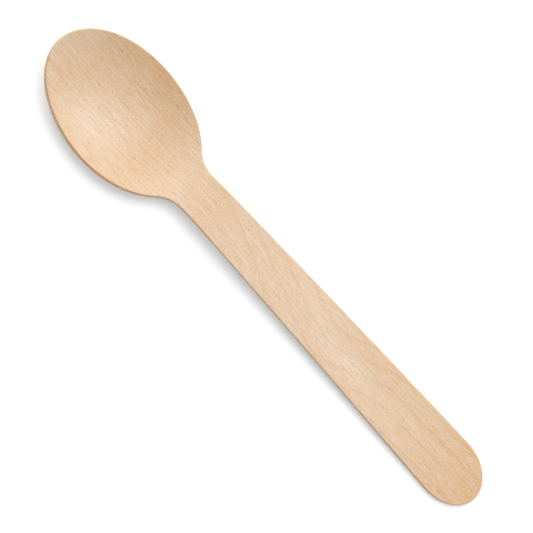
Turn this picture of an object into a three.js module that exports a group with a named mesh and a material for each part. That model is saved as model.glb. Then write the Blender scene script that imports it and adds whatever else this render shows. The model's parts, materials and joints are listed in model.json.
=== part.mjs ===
// A disposable wooden spoon: one sheet of birch veneer, cut to its outline and pressed into a
// shallow bowl. Millimetres, +Z up. X runs from the bowl's tip to the handle's end. The spoon
// lies as it comes to rest on a table, on the bowl's underside and the end of the handle.

import * as THREE from 'three';

// Driving dimensions of the flat blank.
const totalLength = 160;
const bowlLength = 48.8;
const bowlWidth = 32.1;
const neckWidth = 11.7;
const neckFilletRadius = 9.1;
const handleWidth = 17;
const handleEndLength = 11.2;

// Driving dimensions of the veneer and of the pressing.
const veneerThickness = 1.2;
const edgeRadius = 0.2;
const bowlDepth = 4.4;
const rimRise = 3.3;
const pressRunOut = 8.5;

// How finely each stretch of the outline, the width and the rounded edge are divided.
const bowlSteps = 24;
const filletSteps = 8;
const runOutSteps = 6;
const handleSteps = 6;
const endSteps = 12;
const widthSteps = 11;
const edgeSteps = 3;

const bowlMiddle = bowlLength / 2;

// The handle's side leaves the neck and touches the rounded end as a tangent.
function handleSide() {
  const endCentre = totalLength - handleEndLength;
  const neck = new THREE.Vector2(bowlLength, neckWidth / 2);
  const scaled = new THREE.Vector2((neck.x - endCentre) / handleEndLength, neck.y / (handleWidth / 2));
  const touchAngle = scaled.angle() - Math.acos(1 / scaled.length());
  const touch = new THREE.Vector2(
    endCentre + handleEndLength * Math.cos(touchAngle),
    handleWidth / 2 * Math.sin(touchAngle),
  );
  const along = touch.clone().sub(neck).normalize();
  const outward = new THREE.Vector2(-along.y, along.x);
  return { endCentre, neck, touchAngle, touch, along, outward };
}

// The fillet in the neck is the circle that touches both the bowl's ellipse and the handle's side.
function neckFillet(side) {
  const centreAt = (angle) => {
    const point = new THREE.Vector2(
      bowlMiddle * (1 + Math.cos(angle)),
      bowlWidth / 2 * Math.sin(angle),
    );
    const outward = new THREE.Vector2(
      Math.cos(angle) / bowlMiddle,
      Math.sin(angle) / (bowlWidth / 2),
    ).normalize();
    const centre = point.clone().addScaledVector(outward, neckFilletRadius);
    return { centre, outward };
  };
  const halvings = 50;
  let low = 0;
  let high = Math.PI / 2;
  for (let i = 0; i < halvings; i += 1) {
    const angle = (low + high) / 2;
    const reach = centreAt(angle).centre.sub(side.neck).dot(side.outward);
    if (reach > neckFilletRadius) {
      high = angle;
    } else {
      low = angle;
    }
  }
  const { centre, outward } = centreAt(high);
  const handleTouch = centre.clone().addScaledVector(side.outward, -neckFilletRadius);
  return { bowlAngle: high, centre, outward, handleTouch };
}

// One half of the outline, from the tip to the handle's end, as stations with outward normals.
function halfOutline(side, fillet) {
  const runOutEnd = fillet.handleTouch.clone().addScaledVector(side.along, pressRunOut);
  const stretches = [
    [new THREE.EllipseCurve(
      bowlMiddle, 0, bowlMiddle, bowlWidth / 2, Math.PI, fillet.bowlAngle, true), bowlSteps],
    [new THREE.EllipseCurve(
      fillet.centre.x, fillet.centre.y, neckFilletRadius, neckFilletRadius,
      fillet.outward.clone().negate().angle(), side.outward.clone().negate().angle()), filletSteps],
    [new THREE.LineCurve(fillet.handleTouch, runOutEnd), runOutSteps],
    [new THREE.LineCurve(runOutEnd, side.touch), handleSteps],
    [new THREE.EllipseCurve(
      side.endCentre, 0, handleEndLength, handleWidth / 2, side.touchAngle, 0, true), endSteps],
  ];
  const stations = [];
  for (const [curve, steps] of stretches) {
    const first = stations.length === 0 ? 0 : 1;
    for (let i = first; i <= steps; i += 1) {
      const point = curve.getPoint(i / steps);
      const tangent = curve.getTangent(i / steps);
      stations.push({ point, outward: new THREE.Vector2(-tangent.y, tangent.x) });
    }
  }
  // The two ends lie on the spoon's middle line.
  const tip = stations[0];
  const end = stations[stations.length - 1];
  tip.point.y = 0;
  tip.outward.set(-1, 0);
  end.point.y = 0;
  end.outward.set(1, 0);
  return { stations, pressEnd: runOutEnd.x };
}

// Height of the pressed sheet's upper face. The bowl is deepest at its middle, its sides curl up,
// and the pressing runs out smoothly into the flat handle, along the middle line before the sides.
function pressedHeight(x, y, pressEnd) {
  const sides = rimRise * (y / (bowlWidth / 2)) ** 2;
  if (x < bowlMiddle) {
    const towardsTip = (bowlMiddle - x) / bowlMiddle;
    return sides - bowlDepth * (1 - towardsTip ** 2);
  }
  const towardsHandle = Math.min(1, (x - bowlMiddle) / (pressEnd - bowlMiddle));
  return sides * (1 - towardsHandle ** 4) ** 2 - bowlDepth * (1 - towardsHandle ** 2) ** 2;
}

// A point of the sheet, at a depth below the upper face, measured square to the sheet.
function sheetPoint(x, y, depth, pressEnd) {
  const probe = 0.001;
  const heightAt = (offX, offY) => pressedHeight(x + offX, y + offY, pressEnd);
  const slopeX = (heightAt(probe, 0) - heightAt(-probe, 0)) / (2 * probe);
  const slopeY = (heightAt(0, probe) - heightAt(0, -probe)) / (2 * probe);
  const normal = new THREE.Vector3(-slopeX, -slopeY, 1).normalize();
  return new THREE.Vector3(x, y, heightAt(0, 0)).addScaledVector(normal, -depth);
}

// The rounded edge, from the upper face round to the lower one, as insets and depths.
function edgeProfile() {
  const profile = [];
  for (let i = 0; i <= edgeSteps; i += 1) {
    const angle = Math.PI / 2 * i / edgeSteps;
    const inset = edgeRadius * (1 - Math.sin(angle));
    const depth = edgeRadius * (1 - Math.cos(angle));
    profile.push({ inset, depth });
  }
  const lower = profile.map(({ inset, depth }) => ({ inset, depth: veneerThickness - depth }));
  return profile.concat(lower.reverse());
}

// The closed skin: an upper and a lower face of strips across the width, and loops round the edge.
function spoonGeometry(outline) {
  const { stations, pressEnd } = outline;
  const last = stations.length - 1;
  const vertices = [];
  const triangles = [];

  const addVertex = (x, y, depth) => {
    vertices.push(sheetPoint(x, y, depth, pressEnd));
    return vertices.length - 1;
  };
  const insetPoint = (station, inset) => station.point.clone().addScaledVector(station.outward, -inset);

  const addFace = (inset, depth) => stations.map((station, i) => {
    const { x, y } = insetPoint(station, inset);
    if (i === 0 || i === last) {
      return [addVertex(x, 0, depth)];
    }
    const row = [];
    for (let j = 0; j <= widthSteps; j += 1) {
      const share = 2 * j / widthSteps - 1;
      row.push(addVertex(x, y * share, depth));
    }
    return row;
  });
  const faceRim = (rows) => {
    const left = rows.map((row) => row[row.length - 1]);
    const right = rows.slice(1, last).map((row) => row[0]);
    return left.concat(right.reverse());
  };
  const addLoop = ({ inset, depth }) => {
    const left = stations.map((station) => insetPoint(station, inset));
    const right = left.slice(1, last).reverse();
    return left.map(({ x, y }) => addVertex(x, y, depth))
      .concat(right.map(({ x, y }) => addVertex(x, -y, depth)));
  };

  const fillFace = (rows, upwards) => {
    const addTriangle = (a, b, c) => triangles.push(...(upwards ? [a, b, c] : [a, c, b]));
    for (let i = 0; i < last; i += 1) {
      const here = rows[i];
      const next = rows[i + 1];
      for (let j = 0; j < widthSteps; j += 1) {
        if (here.length > 1) {
          addTriangle(here[j], next[Math.min(j, next.length - 1)], here[j + 1]);
        }
        if (next.length > 1) {
          addTriangle(here[Math.min(j + 1, here.length - 1)], next[j], next[j + 1]);
        }
      }
    }
  };
  const joinLoops = (upper, lower) => {
    for (let i = 0; i < upper.length; i += 1) {
      const next = (i + 1) % upper.length;
      triangles.push(upper[i], upper[next], lower[i]);
      triangles.push(upper[next], lower[next], lower[i]);
    }
  };

  const profile = edgeProfile();
  const upperFace = addFace(edgeRadius, 0);
  const lowerFace = addFace(edgeRadius, veneerThickness);
  const loops = [faceRim(upperFace)];
  for (const step of profile.slice(1, -1)) {
    loops.push(addLoop(step));
  }
  loops.push(faceRim(lowerFace));

  fillFace(upperFace, true);
  fillFace(lowerFace, false);
  for (let k = 1; k < loops.length; k += 1) {
    joinLoops(loops[k - 1], loops[k]);
  }

  const geometry = new THREE.BufferGeometry();
  geometry.setFromPoints(vertices);
  geometry.setIndex(triangles);
  geometry.computeVertexNormals();
  return geometry;
}

// The angle at which the spoon lies: the line from the handle's end that just touches the belly.
function restAngle(geometry) {
  const heel = new THREE.Vector3(totalLength - edgeRadius, 0, -veneerThickness);
  const position = geometry.getAttribute('position');
  let angle = 0;
  for (let i = 0; i < position.count; i += 1) {
    const run = heel.x - position.getX(i);
    const drop = heel.z - position.getZ(i);
    if (run > edgeRadius) {
      angle = Math.max(angle, Math.atan2(drop, run));
    }
  }
  return angle;
}

const side = handleSide();
const geometry = spoonGeometry(halfOutline(side, neckFillet(side)));

const birch = new THREE.MeshStandardMaterial({ color: 0xe6cbad, roughness: 0.55, metalness: 0 });
const spoon = new THREE.Mesh(geometry, birch);
spoon.name = 'spoon';

// Lay the spoon down, then bring its underside to the table and its middle over the origin.
const rest = new THREE.Group();
rest.rotation.y = restAngle(geometry);
rest.add(spoon);
rest.updateMatrixWorld(true);
const box = new THREE.Box3().setFromObject(rest, true);
rest.position.set(-(box.min.x + box.max.x) / 2, 0, -box.min.z);

const model = new THREE.Group();
model.add(rest);

export default model;
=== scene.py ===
# %% [markdown]
# A pressed birch spoon
#
# The real spoon is one thin sheet of birch. A knife peels the sheet from a log, a die cuts the
# outline, and a hot press bends the bowl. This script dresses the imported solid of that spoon:
# it lays a smooth skin over the solid, gives it the look of bare birch and sets it before a
# camera on a white table.

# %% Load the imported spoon
import json
import math

import bmesh
import bpy
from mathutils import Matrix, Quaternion, Vector, noise


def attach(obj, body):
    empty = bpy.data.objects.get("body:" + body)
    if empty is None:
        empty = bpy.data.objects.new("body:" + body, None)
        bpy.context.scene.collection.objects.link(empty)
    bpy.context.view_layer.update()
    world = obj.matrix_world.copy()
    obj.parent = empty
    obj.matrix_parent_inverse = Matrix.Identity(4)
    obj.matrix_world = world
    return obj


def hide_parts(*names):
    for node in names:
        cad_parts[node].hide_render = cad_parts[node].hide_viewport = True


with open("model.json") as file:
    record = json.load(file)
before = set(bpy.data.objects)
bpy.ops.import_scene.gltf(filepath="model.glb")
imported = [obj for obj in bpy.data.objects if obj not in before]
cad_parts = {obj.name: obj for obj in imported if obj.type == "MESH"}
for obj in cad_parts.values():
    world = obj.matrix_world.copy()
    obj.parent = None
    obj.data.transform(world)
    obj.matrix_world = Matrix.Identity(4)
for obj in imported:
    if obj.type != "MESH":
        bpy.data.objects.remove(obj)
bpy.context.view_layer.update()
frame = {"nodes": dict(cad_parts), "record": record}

MM = 0.001

# %% [markdown]
# The camera
#
# The photograph looks down on the spoon from about seventy degrees above the table, with a long
# lens, so the sides stay nearly parallel. The picture is also turned: the spoon lies across the
# frame from the upper left to the lower right. The camera could be turned about the spoon
# instead, but then its tilt would show the wrong edges, so it is rolled about its own axis.

# %% Place the camera
CAMERA_AZIMUTH = math.radians(-24.0)
CAMERA_ELEVATION = math.radians(71.0)
CAMERA_ROLL = math.radians(70.0)
CAMERA_DISTANCE = 600.0 * MM
CAMERA_TARGET = Vector((-1.682, 1.324, 0.0)) * MM
CAMERA_LENS = 157.85


def point_back(azimuth, elevation):
    """Unit vector from what is looked at towards the one who looks."""
    level = math.cos(elevation)
    return Vector((math.sin(azimuth) * level, -math.cos(azimuth) * level, math.sin(elevation)))


back = point_back(CAMERA_AZIMUTH, CAMERA_ELEVATION)
look = (-back).to_track_quat("-Z", "Y")
camera = bpy.data.objects.new("camera", bpy.data.cameras.new("camera"))
camera.data.lens = CAMERA_LENS
camera.location = CAMERA_TARGET + back * CAMERA_DISTANCE
camera.rotation_mode = "QUATERNION"
camera.rotation_quaternion = look @ Quaternion((0, 0, 1), CAMERA_ROLL)
bpy.context.scene.collection.objects.link(camera)
bpy.context.scene.camera = camera
print("camera at mm:", [round(part / MM, 1) for part in camera.location])

# %% [markdown]
# The light
#
# The spoon lies under one broad soft light, and white walls fill in the rest. A small lamp would
# give a hard shadow, so a sun as wide as a soft box is used: it lights the whole table evenly
# and its shadow fades within a few millimetres. Lamp and surroundings together light a level
# sheet at a strength of about one, so colours come out as they are written.

# %% Light the table
bpy.context.scene.view_settings.view_transform = "Standard"

SURROUND_STRENGTH = 0.48
LEVEL_STRENGTH = 1.0
LAMP_ELEVATION = math.radians(46.0)
LAMP_AZIMUTH = math.radians(208.0)
LAMP_WIDTH = math.radians(84.0)

lamp = bpy.data.objects.new("soft_lamp", bpy.data.lights.new("soft_lamp", "SUN"))
lamp.data.angle = LAMP_WIDTH
lamp.data.energy = (LEVEL_STRENGTH - SURROUND_STRENGTH) * math.pi / math.sin(LAMP_ELEVATION)
lamp.rotation_mode = "QUATERNION"
lamp.rotation_quaternion = point_back(LAMP_AZIMUTH, LAMP_ELEVATION).to_track_quat("Z", "Y")
bpy.context.scene.collection.objects.link(lamp)
print("lamp strength:", round(lamp.data.energy, 3))

# %% [markdown]
# Nodes
#
# Materials here are small trees of nodes. Writing out every node and link would hide what they
# do, so one helper makes a node, sets its options and fills its inputs: a socket is linked,
# anything else is set as the input's own value. A second one does sums, which come up often.

# %% Make a node
def fill_inputs(tree, node, inputs):
    for name, value in inputs.items():
        if isinstance(value, bpy.types.NodeSocket):
            tree.links.new(value, node.inputs[name])
        else:
            node.inputs[name].default_value = value


def add_node(tree, kind, inputs, **options):
    made = tree.nodes.new(kind)
    for name, value in options.items():
        setattr(made, name, value)
    fill_inputs(tree, made, inputs)
    return made


def calculate(tree, operation, first, second):
    made = add_node(tree, "ShaderNodeMath", {0: first, 1: second}, operation=operation)
    return made.outputs[0]


print("node helpers: fill_inputs, add_node, calculate")

# %% [markdown]
# White walls
#
# A studio's walls are white, and the camera shows them so. Yet they give the spoon only about
# half of its light. One brightness can't do both, so the walls are fully white when they are
# seen directly or in a reflection, and dimmer for all other light.

# %% Put up the walls
def seen_directly(tree):
    path = add_node(tree, "ShaderNodeLightPath", {}).outputs
    mirrored = calculate(tree, "MAXIMUM", path["Is Glossy Ray"], path["Is Transmission Ray"])
    return calculate(tree, "MAXIMUM", path["Is Camera Ray"], mirrored)


world = bpy.data.worlds.new("white_walls")
world.use_nodes = True
bpy.context.scene.world = world
walls = world.node_tree
wall_strength = add_node(walls, "ShaderNodeMapRange", {
    "Value": seen_directly(walls), "To Min": SURROUND_STRENGTH, "To Max": 1.0})
fill_inputs(walls, walls.nodes["Background"], {
    "Color": (1.0, 1.0, 1.0, 1.0), "Strength": wall_strength.outputs["Result"]})
print("walls light the spoon at:", SURROUND_STRENGTH)

# %% [markdown]
# The table
#
# The table is white paper. A camera that meters for the spoon shows the paper as pure white and
# keeps the shadow on it. So the paper is a plain grey for the light that bounces off it, and
# white with a weak glow when it is seen. The glow is a touch blue, because the warm wood
# reflects into the shadow and would otherwise tint it brown.

# %% Lay the paper
TABLE_HALF = 3.0
TABLE_GREY = 0.70
TABLE_GLOW = 0.28
GLOW_COLOUR = (0.85, 0.93, 1.0, 1.0)

table_mesh = bpy.data.meshes.new("table")
corners = [(x * TABLE_HALF, y * TABLE_HALF, 0.0) for x, y in ((-1, -1), (1, -1), (1, 1), (-1, 1))]
table_mesh.from_pydata(corners, [], [(0, 1, 2, 3)])
table = bpy.data.objects.new("table", table_mesh)
bpy.context.scene.collection.objects.link(table)

paper_material = bpy.data.materials.new("white_paper")
paper_material.use_nodes = True
paper = paper_material.node_tree
paper_seen = seen_directly(paper)
paper_tone = add_node(paper, "ShaderNodeMapRange", {
    "Value": paper_seen, "To Min": TABLE_GREY, "To Max": 1.0})
fill_inputs(paper, paper.nodes["Principled BSDF"], {
    "Base Color": paper_tone.outputs["Result"],
    "Roughness": 1.0,
    "Specular IOR Level": 0.0,
    "Emission Color": GLOW_COLOUR,
    "Emission Strength": calculate(paper, "MULTIPLY", paper_seen, TABLE_GLOW)})
table_mesh.materials.append(paper_material)
print("table side in m:", 2 * TABLE_HALF)

# %% [markdown]
# The sheet's own directions
#
# Grain belongs to the sheet and not to the room. The spoon rests with its bowl and the end of
# its handle on the table, so the flat handle leans a little. The record keeps a mount on the
# handle's upper face: its axis gives the lean, and every later step measures along the sheet
# and across it.

# %% Find the sheet's directions
handle_face = next(mount for mount in frame["record"]["mounts"] if mount["name"] == "handle_top")
sheet_up = Vector(handle_face["axis"]).normalized()
sheet_across = Vector((0.0, 1.0, 0.0))
sheet_along = sheet_across.cross(sheet_up).normalized()
cad_spoon = frame["nodes"]["spoon"]
reaches = [vertex.co.dot(sheet_along) for vertex in cad_spoon.data.vertices]
tip_reach = min(reaches)
end_reach = max(reaches)
print("lean in degrees:", round(math.degrees(sheet_up.angle(Vector((0, 0, 1)))), 2))
print("length along the sheet in mm:", round((end_reach - tip_reach) / MM, 2))

# %% [markdown]
# The cage of the skin
#
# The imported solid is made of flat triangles. The real sheet is smooth, with edges that a die has
# cut and a tumbling drum has softened. The facets could simply be shaded smooth, but the outline
# would still show corners. So the solid's own mesh is copied as a cage that can be subdivided:
# its triangles are joined back into four-sided faces, and the long handle is cut into strips.

# %% Make the cage
WELD = 0.002 * MM
STRIP = 2.0 * MM
HANDLE_FROM = 62.0 * MM
HANDLE_TO = 146.0 * MM
LARGEST_FOLD = math.radians(40)
ANY_SHAPE = math.radians(180)

skin = bmesh.new()
skin.from_mesh(cad_spoon.data)
bmesh.ops.remove_doubles(skin, verts=skin.verts, dist=WELD)
bmesh.ops.join_triangles(
    skin, faces=skin.faces, topology_influence=1.0,
    angle_face_threshold=LARGEST_FOLD, angle_shape_threshold=ANY_SHAPE)
cut = HANDLE_FROM
while cut < HANDLE_TO:
    bmesh.ops.bisect_plane(
        skin, geom=skin.verts[:] + skin.edges[:] + skin.faces[:], dist=WELD,
        plane_co=sheet_along * (tip_reach + cut), plane_no=sheet_along)
    cut += STRIP

skin.verts.index_update()
cage_points = [vertex.co.copy() for vertex in skin.verts]
cage_faces = [[vertex.index for vertex in face.verts] for face in skin.faces]
skin.free()
cage = bpy.data.meshes.new("spoon_cage")
cage.from_pydata(cage_points, [], cage_faces)
print("cage faces:", len(cage.polygons))

# %% [markdown]
# The smooth skin
#
# A subdivision modifier rounds the cage off, as pressing and tumbling do with the real sheet.
# Later steps move single points of the result, so the modifier isn't kept: a helper bakes it
# into a new mesh.

# %% Smooth the skin
SMOOTHING_STEPS = 2


def bake_modifiers(piece):
    evaluated = piece.evaluated_get(bpy.context.evaluated_depsgraph_get())
    baked = bpy.data.meshes.new_from_object(evaluated)
    piece.modifiers.clear()
    piece.data = baked
    return baked


spoon = bpy.data.objects.new("spoon_skin", cage)
bpy.context.scene.collection.objects.link(spoon)
rounding = spoon.modifiers.new("rounding", "SUBSURF")
rounding.levels = SMOOTHING_STEPS
spoon_mesh = bake_modifiers(spoon)
spoon_mesh.polygons.foreach_set("use_smooth", [True] * len(spoon_mesh.polygons))
print("skin faces:", len(spoon_mesh.polygons))

# %% [markdown]
# Face and edge
#
# The sheet has two broad faces and a cut edge between them, and the two need different care.
# They could be picked out by hand, but the normal of each point already tells: on a face it
# stands square to the sheet, on the edge it points sideways.

# %% Find the edge
FACE_FLATNESS = 0.85
EDGE_FLATNESS = 0.45


def smoothstep(low, high, value):
    part = min(1.0, max(0.0, (value - low) / (high - low)))
    return part * part * (3.0 - 2.0 * part)


edge_share = []
for vertex in spoon_mesh.vertices:
    flatness = abs(vertex.normal.dot(sheet_up))
    edge_share.append(1.0 - smoothstep(EDGE_FLATNESS, FACE_FLATNESS, flatness))
print("edge vertices:", sum(share > 0.5 for share in edge_share), "of", len(edge_share))

# %% [markdown]
# A sheet that is not quite flat
#
# Veneer dries unevenly after pressing, so a real spoon is never perfectly flat or straight and
# its cut edge wanders a little. All of this is well under a millimetre and only shows as a soft
# unevenness in the sheen and the outline. The handle bows to one side and the bowl sways, slow
# noise lifts both faces together, so the sheet keeps its thickness, and quicker noise moves the
# edge in and out.

# %% Warp the sheet
NECK = 49.0 * MM
HANDLE_BOW = 0.25 * MM
BOWL_SWAY = 0.20 * MM
BOWL_SWAY_LENGTH = 54.0 * MM
WARP = 0.05 * MM
WARP_LENGTH = 24.0 * MM
WARP_WIDTH = 11.0 * MM
EDGE_WANDER = 0.03 * MM
EDGE_LENGTH = 3.5 * MM
EDGE_SLICE = 7.0


def sideways(along):
    """How far the sheet's middle line leaves the straight, at a distance from the tip."""
    if along < NECK:
        return BOWL_SWAY * math.sin(math.tau * (along - NECK) / BOWL_SWAY_LENGTH)
    return HANDLE_BOW * math.sin(math.pi * (along - NECK) / (end_reach - tip_reach - NECK))


moved = []
for vertex, share in zip(spoon_mesh.vertices, edge_share):
    place = vertex.co
    slow = Vector((place.x / WARP_LENGTH, place.y / WARP_WIDTH, 0.0))
    quick = Vector((place.x / EDGE_LENGTH, place.y / EDGE_LENGTH, EDGE_SLICE))
    shift = sheet_across * sideways(place.dot(sheet_along) - tip_reach)
    shift += sheet_up * WARP * noise.noise(slow)
    shift += vertex.normal * EDGE_WANDER * share * noise.noise(quick)
    moved.append(place + shift)
for vertex, place in zip(spoon_mesh.vertices, moved):
    vertex.co = (place.x, place.y, max(0.0, place.z))
spoon_mesh.update()
print("lowest point in mm:", round(min(place.z for place in moved) / MM, 3))

# %% [markdown]
# A crisp rim
#
# The die leaves a clean corner between face and edge. Smooth shading blends the direction of
# neighbouring faces and would smear that corner over the last millimetre of the face. Weighting
# each face by its area lets the wide faces win, so the face stays flat right up to its rim.

# %% Weight the shading
spoon.modifiers.new("weighting", "WEIGHTED_NORMAL")
spoon_mesh = bake_modifiers(spoon)
print("faces with weighted shading:", len(spoon_mesh.polygons))

# %% [markdown]
# Where the fibres run
#
# Birch fibres lie nearly along the spoon, but the tree was not perfectly straight: they swing a
# little one way at the neck, then to the other side as far as the middle of the handle, and
# slowly straighten out. The yearly layers of the tree turn much further, because the knife meets
# them at a shallow angle. Each vertex stores its place along the fibres and across them, and
# also its place across the yearly layers. The wood pattern is drawn in these coordinates, so it
# bends with the wood and follows the press.

# %% Store the grain coordinates
# where, start and stop along the spoon in mm, way to the side in mm
FIBRE_TURNS = [
    ("neck", 42.0, 56.0, -0.9),
    ("handle", 50.0, 98.0, 2.4),
    ("end", 84.0, 148.0, 1.6),
]
LAYER_TURNS = [("handle", 58.0, 104.0, 14.0), ("end", 102.0, 128.0, -9.0)]


def drift(turns, along):
    """How far the wood has moved sideways, in mm, at a distance from the tip."""
    return sum(amount * smoothstep(start, stop, along) for where, start, stop, amount in turns)


def store(name, kind, field, values):
    spoon_mesh.attributes.new(name, kind, "POINT").data.foreach_set(field, values)


grain = []
layers = []
for vertex in spoon_mesh.vertices:
    along = (vertex.co.dot(sheet_along) - tip_reach) / MM
    across = vertex.co.y / MM
    grain.extend((along, across + drift(FIBRE_TURNS, along), 0.0))
    layers.append(across + drift(LAYER_TURNS, along))
store("grain", "FLOAT_VECTOR", "vector", grain)
store("layer", "FLOAT", "value", layers)
print("fibres drift at the end in mm:", round(drift(FIBRE_TURNS, max(grain[0::3])), 2))

# %% [markdown]
# Where the edge was cut
#
# The die cuts along the fibres on the long sides and across them at the tip and at the end of
# the handle, and the two cuts don't have the same colour. So each vertex also stores its share
# of edge and how squarely the cut faces along the spoon.

# %% Store the cut
end_cuts = [abs(vertex.normal.dot(sheet_along)) for vertex in spoon_mesh.vertices]
store("edge", "FLOAT", "value", edge_share)
store("end_cut", "FLOAT", "value", end_cuts)
print("squarest end cut:", round(max(end_cuts), 3))

# %% [markdown]
# Stretched noise
#
# Almost everything in wood is a long thin streak: fibres, pores and slow changes of tone only
# differ in how long and how wide they are. One group makes such streaks from noise that is
# squeezed by a length and a width, and its value is zero on average, so it can be added to a
# tone. Noise in space would also work, but a slice through it mixes in broad blotches. Flat
# noise keeps the streaks as fine as hairs, and a seed moves each pattern to another place.

# %% Build the streak group
def add_group(name, inputs, output):
    group = bpy.data.node_groups.new(name, "ShaderNodeTree")
    group.interface.new_socket("Grain", in_out="INPUT", socket_type="NodeSocketVector")
    for title in inputs:
        group.interface.new_socket(title, in_out="INPUT", socket_type="NodeSocketFloat")
    group.interface.new_socket(output, in_out="OUTPUT", socket_type="NodeSocketFloat")
    given = group.nodes.new("NodeGroupInput").outputs
    result = group.nodes.new("NodeGroupOutput").inputs[output]
    return group, given, result


streaks, given, result = add_group("wood_streaks", ("Length", "Width", "Seed"), "Value")
streak_size = add_node(streaks, "ShaderNodeCombineXYZ", {"X": given["Length"], "Y": given["Width"]})
squeezed = add_node(streaks, "ShaderNodeVectorMath", {
    0: given["Grain"], 1: streak_size.outputs["Vector"]}, operation="DIVIDE")
shifted = add_node(streaks, "ShaderNodeVectorMath", {
    0: squeezed.outputs["Vector"], 1: given["Seed"]}, operation="ADD")
streak_noise = add_node(streaks, "ShaderNodeTexNoise", {
    "Vector": shifted.outputs["Vector"], "Scale": 1.0, "Detail": 0.0}, noise_dimensions="2D")
streaks.links.new(calculate(streaks, "SUBTRACT", streak_noise.outputs["Fac"], 0.5), result)
print("streak group inputs:", [socket.name for socket in given if socket.name])

# %% [markdown]
# Growth lines
#
# Each year the tree lays down pale spring wood and ends with a thin darker line. The knife cuts
# these layers at a shallow angle, so on the sheet they become a few long, wandering lines. Slow
# noise bends the place across the layers, each step of one spacing ends in a thin dark line, and
# the same noise lets the lines come and go.

# %% Build the growth line group
LINE_SPACING = 4.75
FIRST_LINE = -1.2
LINE_WANDER = 3.0
LINE_SHARPNESS = 9.0
WANDER_SIZE = (24.0, 9.0, 9.0)
WANDER_SEED = 3.7
FAINT_AT = -0.3
FULL_AT = 0.0
FAINTEST = 0.4

growth, given, result = add_group("growth_lines", ("Layer",), "Line")
wander_place = add_node(growth, "ShaderNodeVectorMath", {
    0: given["Grain"], 1: WANDER_SIZE}, operation="DIVIDE")
wander_noise = add_node(growth, "ShaderNodeTexNoise", {
    "Vector": wander_place.outputs["Vector"], "W": WANDER_SEED, "Scale": 1.0, "Detail": 0.0},
    noise_dimensions="4D")
wander = calculate(growth, "SUBTRACT", wander_noise.outputs["Fac"], 0.5)
bent = add_node(growth, "ShaderNodeMath", {
    0: wander, 1: LINE_WANDER, 2: given["Layer"]}, operation="MULTIPLY_ADD")
from_first = calculate(growth, "SUBTRACT", bent.outputs[0], FIRST_LINE)
year = calculate(growth, "FRACT", calculate(growth, "DIVIDE", from_first, LINE_SPACING), 0.0)
thin_line = calculate(growth, "POWER", year, LINE_SHARPNESS)
presence = add_node(growth, "ShaderNodeMapRange", {
    "Value": wander, "From Min": FAINT_AT, "From Max": FULL_AT, "To Min": FAINTEST})
growth.links.new(calculate(growth, "MULTIPLY", thin_line, presence.outputs["Result"]), result)
print("growth lines every mm:", LINE_SPACING)

# %% [markdown]
# Warm and pale patches
#
# No two places on a sheet of birch have quite the same tone, and both ends are browner. On the
# bowl, one flank is darkened with painted shade and the other is lightened with a painted
# highlight. Each such place is a soft oval spot, so one group draws an oval that fades from its
# middle to its rim.

# %% Build the patch group
patch, given, result = add_group(
    "soft_patch", ("Along", "Across", "Half length", "Half width"), "Mask")
parts = add_node(patch, "ShaderNodeSeparateXYZ", {"Vector": given["Grain"]}).outputs
run = calculate(patch, "SUBTRACT", parts["X"], given["Along"])
rise = calculate(patch, "SUBTRACT", parts["Y"], given["Across"])
oval = add_node(patch, "ShaderNodeCombineXYZ", {
    "X": calculate(patch, "DIVIDE", run, given["Half length"]),
    "Y": calculate(patch, "DIVIDE", rise, given["Half width"])})
reach = add_node(patch, "ShaderNodeVectorMath", {0: oval.outputs["Vector"]}, operation="LENGTH")
fading = add_node(patch, "ShaderNodeMapRange", {
    "Value": reach.outputs["Value"], "From Min": 1.0, "From Max": 0.0},
    interpolation_type="SMOOTHSTEP")
patch.links.new(fading.outputs["Result"], result)
print("patch group inputs:", [socket.name for socket in given if socket.name])

# %% [markdown]
# Reading the sheet
#
# The finish of the spoon is one material. It starts from what the skin has stored: the place in
# the grain, the yearly layer and the two shares of the cut. Two helpers keep the next steps
# short. One places a group and hands it the grain coordinates, the other adds a pattern, times
# an amount, to a tone.

# %% Start the birch material
birch_material = bpy.data.materials.new("birch")
birch_material.use_nodes = True
birch = birch_material.node_tree
stored = {}
for name in ("grain", "layer", "edge", "end_cut"):
    stored[name] = add_node(birch, "ShaderNodeAttribute", {}, attribute_name=name).outputs
grain_place = stored["grain"]["Vector"]
from_tip = add_node(birch, "ShaderNodeSeparateXYZ", {"Vector": grain_place}).outputs["X"]


def use_group(group, **values):
    inputs = {name.replace("_", " "): value for name, value in values.items()}
    made = add_node(birch, "ShaderNodeGroup", {}, node_tree=group)
    fill_inputs(birch, made, {"Grain": grain_place, **inputs})
    return made.outputs[0]


def add_to_tone(pattern, amount, tone):
    added = add_node(birch, "ShaderNodeMath", {
        0: pattern, 1: amount, 2: tone}, operation="MULTIPLY_ADD")
    return added.outputs[0]


print("the material reads:", list(stored))

# %% [markdown]
# The figure of the wood
#
# Woodworkers call the pattern on a board its figure. Birch shows fine fibres of a few lengths,
# short specks and slow bands, and each is one use of the streak group. The press stretches the
# bowl's face, so more long fine fibres show there.

# %% Add up the figure
# what, length and width in mm, seed, amount
STREAKS = [
    ("specks", 0.5, 0.34, 1.3, 0.60),
    ("fibres", 3.2, 0.36, 2.9, 0.46),
    ("long fibres", 10.0, 0.38, 4.1, 0.38),
    ("thin bands", 30.0, 0.80, 7.9, 0.05),
    ("wide bands", 40.0, 1.6, 5.1, 0.10),
]
BOWL_FIBRES = 0.55

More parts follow.
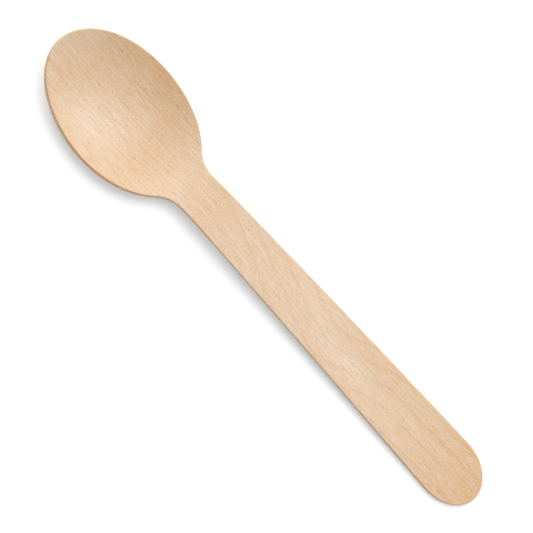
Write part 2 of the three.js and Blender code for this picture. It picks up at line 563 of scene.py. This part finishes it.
figure = 0.0
for what, length, width, seed, amount in STREAKS:
    figure = add_to_tone(use_group(streaks, Length=length, Width=width, Seed=seed), amount, figure)
bowl_share = use_group(patch, Along=22.0, Across=-2.0, Half_length=24.0, Half_width=24.0)
bowl_fibres = use_group(streaks, Length=7.0, Width=0.37, Seed=6.3)
bowl_figure = calculate(birch, "MULTIPLY", bowl_fibres, bowl_share)
figure = add_to_tone(bowl_figure, BOWL_FIBRES, figure)
print("the figure has:", [entry[0] for entry in STREAKS])

# %% [markdown]
# The tone of the wood
#
# All the tones of birch lie between a light cream and a warm tan, so a single tone value can
# pick the colour. The figure, the growth lines and the short dark pores push the tone up or down
# a little, and the handle slowly darkens towards its end. The growth lines hardly show in the
# bowl, where the press has stretched them.

# %% Add up the tone
PLAIN_TONE = 0.53
LINE_IN_BOWL = -0.05
LINE_IN_HANDLE = -0.33
BOWL_STOPS = 44.0
HANDLE_STARTS = 62.0
PORE_AMOUNT = -0.6
PORE_RIM = 0.28
PORE_MIDDLE = 0.45
END_AMOUNT = -0.44
END_SHADE_FROM = 128.0
END_SHADE_TO = 160.0

growth_line = use_group(growth, Layer=stored["layer"]["Fac"])
line_amount = add_node(birch, "ShaderNodeMapRange", {
    "Value": from_tip, "From Min": BOWL_STOPS, "From Max": HANDLE_STARTS,
    "To Min": LINE_IN_BOWL, "To Max": LINE_IN_HANDLE})
pores = add_node(birch, "ShaderNodeMapRange", {
    "Value": use_group(streaks, Length=2.2, Width=0.45, Seed=2.6),
    "From Min": PORE_RIM, "From Max": PORE_MIDDLE})
end_shade = add_node(birch, "ShaderNodeMapRange", {
    "Value": from_tip, "From Min": END_SHADE_FROM, "From Max": END_SHADE_TO})

tone = calculate(birch, "ADD", figure, PLAIN_TONE)
tone = add_to_tone(growth_line, line_amount.outputs["Result"], tone)
tone = add_to_tone(pores.outputs["Result"], PORE_AMOUNT, tone)
tone = add_to_tone(end_shade.outputs["Result"], END_AMOUNT, tone)
print("plain tone:", PLAIN_TONE, "and at the handle's end:", round(PLAIN_TONE + END_AMOUNT, 2))

# %% [markdown]
# Painted shade, painted highlight and toned areas
#
# Now the patches are laid where the spoon is browner or paler: round the bowl, at the neck
# and along the handle. On the bowl's two flanks they are painted shade and a painted highlight.
# The tone could also be painted by hand, but a short list of soft ovals is easier to read and to
# change.

# %% Lay the patches
# where, middle along and across, half length and half width in mm, amount
PATCHES = [
    # painted shade: the bowl's flank that faces away from the lamp is darkened
    ("painted shade flank", 18.2, 15.1, 40.0, 17.3, -0.37),
    ("brown tip", 11.5, -5.8, 14.2, 16.2, -0.32),
    # painted highlight: the bowl's flank that faces the lamp, where its sheen falls, is lightened
    ("painted highlight flank", 17.0, -7.5, 12.7, 11.2, 0.35),
    ("warm band", 37.4, -3.0, 11.8, 22.0, -0.33),
    ("warm middle", 27.1, 14.7, 11.7, 15.6, -0.17),
    ("warm rim", 25.0, -15.3, 17.7, 8.8, -0.22),
    ("neck", 56.2, 4.4, 12.1, 22.0, -0.19),
    ("pale middle", 93.7, 4.4, 10.9, 5.2, 0.18),
    ("pale side", 109.0, 0.5, 16.1, 3.6, 0.24),
    ("warm side", 122.1, 7.5, 24.9, 6.5, -0.19),
]

for where, along, across, half_length, half_width, amount in PATCHES:
    mask = use_group(
        patch, Along=along, Across=across, Half_length=half_length, Half_width=half_width)
    tone = add_to_tone(mask, amount, tone)
print("patches:", [entry[0] for entry in PATCHES])

# %% [markdown]
# The colours of birch
#
# The tone picks a colour between tan and cream. The cut edge shows open fibres, which drink in
# more light and look browner. That is strongest on the long sides: at the tip and at the end of
# the handle the cut stays paler. The edge could have a material of its own, but it is the same
# wood, so it is only tinted.

# %% Colour the birch
def from_screen(red, green, blue):
    """A colour as it looks on a screen, turned into amounts of light."""
    shares = [part / 255.0 for part in (red, green, blue)]
    return tuple(((share + 0.055) / 1.055) ** 2.4 for share in shares) + (1.0,)


def mix_colours(share, first, second, **options):
    """Mix two colours. The mix node takes colours in its sockets 6 and 7 and gives one in 2."""
    inputs = {0: share, 6: first, 7: second}
    return add_node(birch, "ShaderNodeMix", inputs, data_type="RGBA", **options).outputs[2]


DARK_BIRCH = from_screen(217, 177, 133)
LIGHT_BIRCH = from_screen(236, 215, 192)
SIDE_TINT = (0.96, 0.78, 0.52, 1.0)
END_TINT = (0.98, 0.90, 0.72, 1.0)

face_colour = mix_colours(tone, DARK_BIRCH, LIGHT_BIRCH, clamp_factor=False)
edge_tint = mix_colours(stored["end_cut"]["Fac"], SIDE_TINT, END_TINT)
wood_colour = mix_colours(stored["edge"]["Fac"], face_colour, edge_tint, blend_type="MULTIPLY")
print("darkest tone:", [round(part, 3) for part in DARK_BIRCH[:3]])
print("lightest tone:", [round(part, 3) for part in LIGHT_BIRCH[:3]])

# %% [markdown]
# The satin face
#
# The hot press leaves bare birch with a satin face, and the fibres stand out of it just enough
# to break up the sheen. As geometry this relief would need millions of faces, so a bump only
# turns the shading, by the same figure that draws the fibres.

# %% Finish the birch
BIRCH_ROUGHNESS = 0.50
RELIEF_STRENGTH = 0.12
RELIEF_HEIGHT = 0.02 * MM

relief = add_node(birch, "ShaderNodeBump", {
    "Height": figure, "Strength": RELIEF_STRENGTH, "Distance": RELIEF_HEIGHT})
fill_inputs(birch, birch.nodes["Principled BSDF"], {
    "Base Color": wood_colour,
    "Roughness": BIRCH_ROUGHNESS,
    "Normal": relief.outputs["Normal"]})
spoon_mesh.materials.append(birch_material)
print("nodes in the birch material:", len(birch.nodes))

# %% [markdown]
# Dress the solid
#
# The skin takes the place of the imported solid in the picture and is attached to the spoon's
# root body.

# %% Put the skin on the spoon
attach(spoon, "root")
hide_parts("spoon")
print("skin triangles:", sum(len(face.vertices) - 2 for face in spoon_mesh.polygons))
